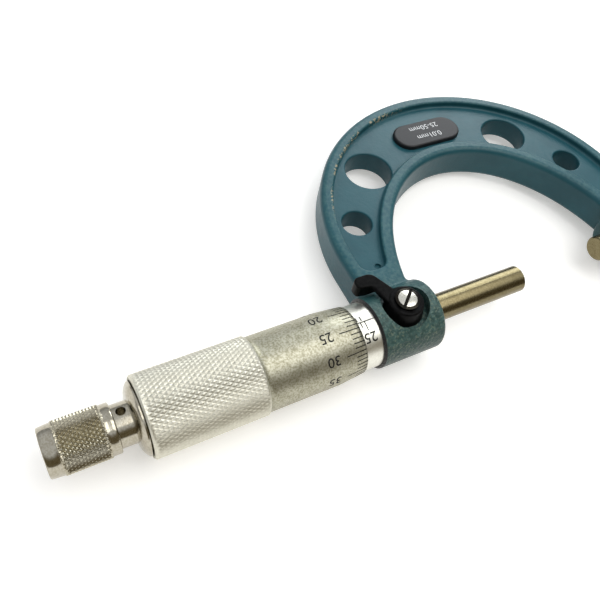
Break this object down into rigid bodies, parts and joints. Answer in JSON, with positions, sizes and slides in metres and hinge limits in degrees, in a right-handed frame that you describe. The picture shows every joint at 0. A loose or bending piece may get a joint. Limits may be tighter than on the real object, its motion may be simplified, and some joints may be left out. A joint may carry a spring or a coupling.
{
  "type": "outside micrometer",
  "caption": "Outside micrometer, 25 to 50 mm, with a C-shaped frame, graduated sleeve and thimble, ratchet stop and lever lock.",
  "frame": {"origin": "centre of the anvil's measuring face", "axes": "+X along the spindle's axis from the anvil to the thimble, +Z out of the frame's numbered front, so the bow of the frame lies towards -Y"},
  "size_m": [0.1653, 0.0714, 0.0189],
  "materials": {
    "enamel": "cast iron with petrol blue-green stove enamel",
    "ground_steel": "hardened, ground round and lapped on the measuring faces",
    "plate_black": "black with white lettering",
    "turned_steel": "plain turned steel",
    "satin_chrome": "satin chrome with black filled graduations",
    "brass": "plain turned brass",
    "bright_nickel": "bright nickel plate",
    "lever_black": "smooth black, half gloss"
  },
  "bodies": {
    "frame_body": {"frame": "enamel", "anvil": "ground_steel", "range_plate": "plate_black", "inner_sleeve": "turned_steel", "sleeve": "satin_chrome", "adjusting_nut": "turned_steel", "lock_washer": "turned_steel"},
    "spindle_body": {"spindle": "ground_steel"},
    "thimble_body": {"thimble": "satin_chrome", "thimble_bush": "brass", "ratchet_body": "bright_nickel", "ratchet_disc": "turned_steel", "ratchet_spring": "turned_steel", "ratchet_washer": "turned_steel", "ratchet_screw": "turned_steel"},
    "knob_body": {"ratchet_knob": "bright_nickel"},
    "pad_body": {"lock_pad": "brass"},
    "lever_body": {"lock_stem": "turned_steel", "lock_lever": "lever_black", "lock_screw": "bright_nickel"}
  },
  "joints": [
    {"name": "spindle_feed", "type": "slide", "parent": "frame_body", "child": "spindle_body", "axis": [1, 0, 0], "range_m": [-0.00174, 0.02326]},
    {"name": "thimble_turn", "type": "hinge", "parent": "spindle_body", "child": "thimble_body", "pos_m": [0.1, 0, 0], "axis": [1, 0, 0], "range_deg": [-1252.8, 16747.2]},
    {"name": "ratchet_slip", "type": "hinge", "parent": "thimble_body", "child": "knob_body", "pos_m": [0.129, 0, 0], "axis": [1, 0, 0], "continuous": true},
    {"name": "lock_feed", "type": "slide", "parent": "frame_body", "child": "pad_body", "axis": [0, 0, 1], "range_m": [-0.00008055, 0]},
    {"name": "lever_turn", "type": "hinge", "parent": "pad_body", "child": "lever_body", "pos_m": [0.0624, 0, 0.006], "axis": [0, 0, 1], "range_deg": [-58, 0]}
  ],
  "couplings": [
    {"joint": "thimble_turn", "follows": "spindle_feed", "rad_per_m": 12566},
    {"joint": "lever_turn", "follows": "lock_feed", "rad_per_m": 12566}
  ]
}
